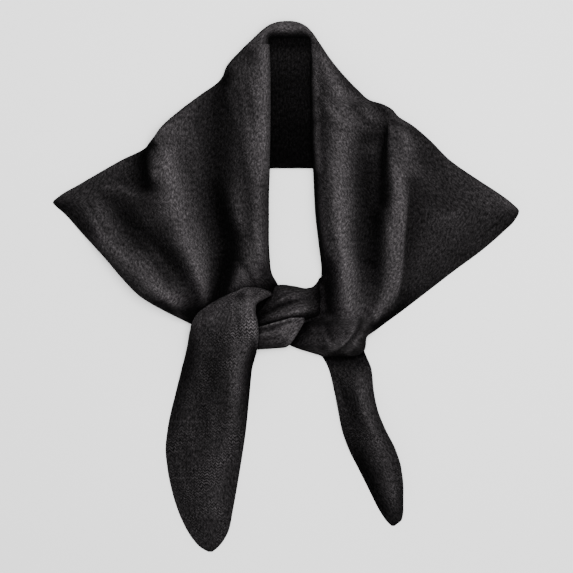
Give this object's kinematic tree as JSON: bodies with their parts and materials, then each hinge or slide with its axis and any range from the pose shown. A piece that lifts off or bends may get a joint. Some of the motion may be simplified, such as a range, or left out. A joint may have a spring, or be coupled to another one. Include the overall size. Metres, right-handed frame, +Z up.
{
  "type": "knitted triangle scarf",
  "caption": "Dark knitted triangle scarf laid flat, its long edge rolled round a narrow neck opening and its ends tied once in a loose front knot.",
  "frame": {"origin": "centre of the laid-out scarf's outline, on the surface that it lies on", "axes": "+Y from the tails up towards the neck roll, +Z up off the surface, +X towards the right-hand wing seen from above"},
  "size_m": [0.468, 0.533, 0.036],
  "materials": {
    "knit": "soft brushed wool knit, nearly black charcoal, matt with a faint nap"
  },
  "bodies": {
    "root": {"back": "knit", "neck_roll": "knit", "front_left": "knit", "front_right": "knit", "band_upper": "knit", "band_lower": "knit", "tail_left": "knit", "tail_right": "knit"}
  },
  "joints": []
}
